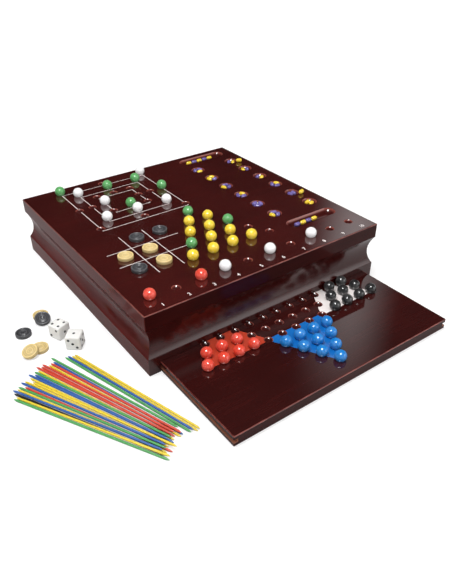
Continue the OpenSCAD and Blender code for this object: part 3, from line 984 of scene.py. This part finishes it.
def turned_draught(games):
    """One draught, turned with rings on both faces and reeded at its rim"""
    radius, tall = games.draught / 2, games.draught_height
    one = bmesh.new()
    path = [(r * radius, tall / 2 - d * tall) for r, d in DRAUGHT_FACE]
    path += [(r, -z) for r, z in reversed(path)]
    chain = [one.verts.new((r, 0, z)) for r, z in path]
    wires = [one.edges.new(pair) for pair in zip(chain, chain[1:])]
    bmesh.ops.spin(one, geom=[*chain, *wires], cent=(0, 0, 0), axis=(0, 0, 1),
        dvec=(0, 0, 0), angle=math.tau, steps=RIM_STEPS, use_merge=True)
    bmesh.ops.remove_doubles(one, verts=one.verts, dist=MERGE)
    for corner in one.verts:
        way = round(math.atan2(corner.co.y, corner.co.x) / math.tau * RIM_STEPS)
        if corner.co.xy.length > 0.95 * radius and way % 2:
            corner.co.xy *= REED
    land = one.verts.layers.float.new("land")
    for corner in one.verts:
        corner[land] = abs(corner.co.z) / tall * 2
    bmesh.ops.recalc_face_normals(one, faces=one.faces)
    return one


class COMPENDIUM_OT_draughts(bpy.types.Operator):
    """The draughts on the grid and on the table"""
    bl_idname = "compendium.draughts"
    bl_label = "Draughts"
    bl_options = {"REGISTER", "UNDO"}

    def execute(self, context):
        games = context.scene.compendium_games
        for node, body, tint in nodes_of("draughts"):
            shape = copies(turned_draught(games),
                [lie_of(corners, "disc")[0] for corners in solids(node)])
            value = getattr(tints(), tint)
            # The black draughts are painted a lighter grey on their lands as a painted highlight,
            # and much darker in their grooves as painted shade
            finish = (turned_wood("draught_natural", value, 0.34, 0.42) if tint == "natural"
                else turned_wood("draught_black", tuple(8 * c for c in value), 0.8, 0.36))
            piece = shown(node + "_turned", shape, body, [finish], [node], sharp=50)
            "draught_" + tint
        return {"FINISHED"}


def pip_places(count):
    """Where the pips of a face are, from -1 to 1 each way"""
    places = [(0, 0)] if count % 2 else []
    places += [(-1, -1), (1, 1)] if count > 1 else []
    places += [(-1, 1), (1, -1)] if count > 3 else []
    return places + ([(-1, 0), (1, 0)] if count == 6 else [])


def pip_balls(games, faces, lean):
    """The balls that cut a die's pips, for the numbers on its top, front and right faces"""
    round_r = (games.pip ** 2 + PIP_DEPTH ** 2) / (2 * PIP_DEPTH)
    reach = games.die * PIP_SPREAD
    top, front, right = faces
    spots = []
    for tip, swing, count in ((0, 0, top), (180, 0, 7 - top), (90, 0, front),
            (90, 180, 7 - front), (90, 90, right), (90, -90, 7 - right)):
        face = Matrix.Rotation(math.radians(swing), 4, "Z") \
            @ Matrix.Rotation(math.radians(tip), 4, "X")
        spots += [face @ Matrix.Translation((lean * u * reach, v * reach,
            games.die / 2 + round_r - PIP_DEPTH)) for u, v in pip_places(count)]
    return copies(ball(round_r, 24, 24), spots)


class COMPENDIUM_OT_dice(bpy.types.Operator):
    """The two dice with rounded corners and black pips"""
    bl_idname = "compendium.dice"
    bl_label = "Dice"
    bl_options = {"REGISTER", "UNDO"}

    def execute(self, context):
        games = context.scene.compendium_games
        half = games.die / 2
        black = polished("pip_black", tints().black)
        for node, turn, faces, lean in DICE:
            low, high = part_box(node)
            shape = slab((-half, -half, -half), (half, half, half), DIE_CORNER, 5)
            white = polished("die_white_" + node[4:], tints().bone, 0.04, 0.2)
            piece = shown(node + "_rounded", shape, node, [white], [node], sharp=60)
            cut(piece, pip_balls(games, faces, lean), black, sharp=40)
            piece.data.transform(Matrix.Translation((low + high) / 2)
                @ Matrix.Rotation(math.radians(turn), 4, "Z"))
        return {"FINISHED"}


class COMPENDIUM_OT_sticks(bpy.types.Operator):
    """The pick-up sticks, pointed at both ends"""
    bl_idname = "compendium.sticks"
    bl_label = "Pick-up sticks"
    bl_options = {"REGISTER", "UNDO"}

    def execute(self, context):
        games = context.scene.compendium_games
        for node, body, tint in nodes_of("stick"):
            dye = getattr(tints(), tint if tint == "black" else tint + "_dye")
            places, lengths = rods(node)
            one = bmesh.new()
            bmesh.ops.create_cone(one, cap_ends=True, segments=20, radius1=games.stick / 2,
                radius2=games.stick / 2, depth=lengths[0] - 2 * STICK_POINT)
            for end in (-1, 1):
                caps = [f for f in one.faces if f.normal.z * end > 0.9]
                for share, reach in STICK_TAPERS:
                    caps = grow(one, caps, share, end * STICK_POINT * reach)
            shape = copies(one, places)
            piece = shown(node + "_dyed", shape, body,
                [dyed_wood("stick_" + tint, dye)], [node], sharp=45)
            "stick_" + tint
        return {"FINISHED"}


def grow(shape, faces, share, reach):
    """Draws flat end faces out along Z and narrows them"""
    made = bmesh.ops.extrude_face_region(shape, geom=faces)["geom"]
    ends = [g for g in made if isinstance(g, bmesh.types.BMFace)]
    corners = [g for g in made if isinstance(g, bmesh.types.BMVert)]
    bmesh.ops.scale(shape, vec=(share, share, 1), verts=corners)
    bmesh.ops.translate(shape, vec=(0, 0, reach), verts=corners)
    bmesh.ops.delete(shape, geom=faces, context="FACES_ONLY")
    return ends


class COMPENDIUM_OT_stage(bpy.types.Operator):
    """The floor, the lights and the camera"""
    bl_idname = "compendium.stage"
    bl_label = "Stage"
    bl_options = {"REGISTER", "UNDO"}

    def execute(self, context):
        context.scene.view_settings.view_transform = "Standard"
        floor()
        daylight()
        softbox("key", (-0.25, -0.1, 1.3), (0, 0, 0), size=(0.6, 0.6), power=12)
        softbox("highlight", (-0.34, -0.5, 1.2), (0, 0, 0), size=(0.4, 0.4), power=22,
            mirrored=True)
        softbox("front_fill", (0.63, -1.18, 0.5), (0, -0.1, 0.03), size=(0.95, 0.4), power=5)
        softbox("left_fill", (-1.35, -0.1, 0.7), (0, 0, 0.05), size=(0.9, 0.5), power=3)
        camera = bpy.data.cameras.new("camera")
        camera.lens = FOCAL_LENGTH * SENSOR / PICTURE_HEIGHT
        camera.shift_y = PICTURE_SHIFT / PICTURE_HEIGHT
        eye = placed("camera", camera)
        eye.matrix_world = Matrix.Translation(CAMERA_PLACE) \
            @ Matrix.Rotation(CAMERA_HEADING, 4, "Z") \
            @ Matrix.Rotation(math.pi / 2 - CAMERA_TILT, 4, "X") \
            @ Matrix.Rotation(CAMERA_ROLL, 4, "Z")
        bpy.context.scene.camera = eye
        return {"FINISHED"}


def floor():
    """A pale table that is white to the camera and keeps the soft shadows"""
    finish = Finish("pale_floor")
    seen = finish.for_ray("Is Camera Ray") + finish.for_ray("Is Transmission Ray")
    mirrored = finish.for_ray("Is Glossy Ray")
    away = finish.node("ShaderNodeVectorMath", {"operation": "LENGTH"}, {0: finish.place()},
        output=1).between(*FLOOR_FADE)
    cloth = finish.node("ShaderNodeBsdfDiffuse", inputs={"Color": FLOOR_COLOUR})
    added = seen * (0.5 + away * 0.5) + mirrored * FLOOR_MIRRORED
    shine = finish.node("ShaderNodeEmission", inputs={"Color": (1, 1, 1, 1), "Strength": added})
    finish.end(finish.node("ShaderNodeAddShader", inputs={0: cloth, 1: shine}))
    shape = bmesh.new()
    bmesh.ops.create_circle(shape, cap_ends=True, segments=64, radius=6)
    mesh = mesh_of("floor", shape)
    mesh.materials.append(finish.material)
    table = placed("floor", mesh)


def daylight():
    """A white room round the table. What the pieces mirror is darker overhead and behind the
    box, with a tall strip of light behind it and a soft round light before it."""
    world = bpy.data.worlds.new("room")
    bpy.context.scene.world = world
    room = Finish("room", world)
    way = room.node("ShaderNodeTexCoord", output="Generated")
    up, away = room.along(way, "Z"), room.along(way, "Y")
    wall = 1 - (up + away * 0.25).between(0.02, 0.3)
    aside = room.toward(way, (math.cos(STRIP_TURN), -math.sin(STRIP_TURN), 0))
    strip = (1 - abs(aside).between(0, STRIP_WIDE)) \
        * (1 - abs(up - STRIP_HIGH).between(0.05, 0.2)) * away.between(0, 0.1)
    before = room.toward(way, Vector(GLOW_WAY).normalized()).between(
        math.cos(GLOW_EDGE), math.cos(GLOW_CORE))
    seen = room.for_ray("Is Camera Ray") + room.for_ray("Is Transmission Ray")
    gloss = room.for_ray("Is Glossy Ray")
    mirrored = ROOM_DARK + wall * ROOM_WALL + strip * ROOM_STRIP + before * ROOM_GLOW
    plain = ROOM_LIGHT * (1 - gloss) + gloss * mirrored
    room.end(room.node("ShaderNodeBackground",
        inputs={"Color": (1, 1, 1, 1), "Strength": seen + (1 - seen) * plain}))


def softbox(name, place, aim, size, power, mirrored=False):
    """A soft rectangular lamp, aimed from its place, of that many watts. It either lights the
    pieces or is only mirrored in them."""
    lamp = bpy.data.lights.new(name, "AREA")
    lamp.shape = "RECTANGLE"
    lamp.size, lamp.size_y = size
    lamp.energy = power
    stand = placed(name, lamp)
    stand.visible_glossy = mirrored
    stand.visible_diffuse = not mirrored
    stand.location = place
    way = Vector(aim) - Vector(place)
    stand.rotation_euler = way.to_track_quat("-Z", "Y").to_euler()


class COMPENDIUM_PT_sidebar(bpy.types.Panel):
    """Lists the compendium's sizes and its builders"""
    bl_label = "Games compendium"
    bl_idname = "COMPENDIUM_PT_sidebar"
    bl_space_type = "VIEW_3D"
    bl_region_type = "UI"
    bl_category = "Compendium"

    def draw(self, context):
        for title, group in GROUPS.items():
            part = self.layout.box()
            part.label(text=title.replace("_", " ").capitalize())
            settings = getattr(context.scene, title)
            for name in group.__annotations__:
                part.prop(settings, name)
        for builder in BUILDERS:
            self.layout.operator(builder.bl_idname)


GROUPS = {"compendium_box": CompendiumBox, "compendium_games": CompendiumGames,
    "compendium_print": CompendiumPrint, "compendium_colours": CompendiumColours}
BUILDERS = (COMPENDIUM_OT_stage, COMPENDIUM_OT_panel, COMPENDIUM_OT_mouldings,
    COMPENDIUM_OT_hidden_wood, COMPENDIUM_OT_board, COMPENDIUM_OT_numbers,
    COMPENDIUM_OT_marbles, COMPENDIUM_OT_stones, COMPENDIUM_OT_draughts, COMPENDIUM_OT_dice,
    COMPENDIUM_OT_sticks)


def register():
    """Adds the classes, and the sizes and colours of each scene"""
    for part in (*GROUPS.values(), *BUILDERS, COMPENDIUM_PT_sidebar):
        bpy.utils.register_class(part)
    for name, group in GROUPS.items():
        setattr(bpy.types.Scene, name, PointerProperty(type=group))


def unregister():
    """Takes away what register added"""
    for name in GROUPS:
        delattr(bpy.types.Scene, name)
    for part in (COMPENDIUM_PT_sidebar, *reversed(BUILDERS), *reversed(GROUPS.values())):
        bpy.utils.unregister_class(part)


def main():
    """Builds the compendium"""
    register()
    for builder in BUILDERS:
        group, name = builder.bl_idname.split(".")
        getattr(getattr(bpy.ops, group), name)()


if __name__ == "__main__":
    main()
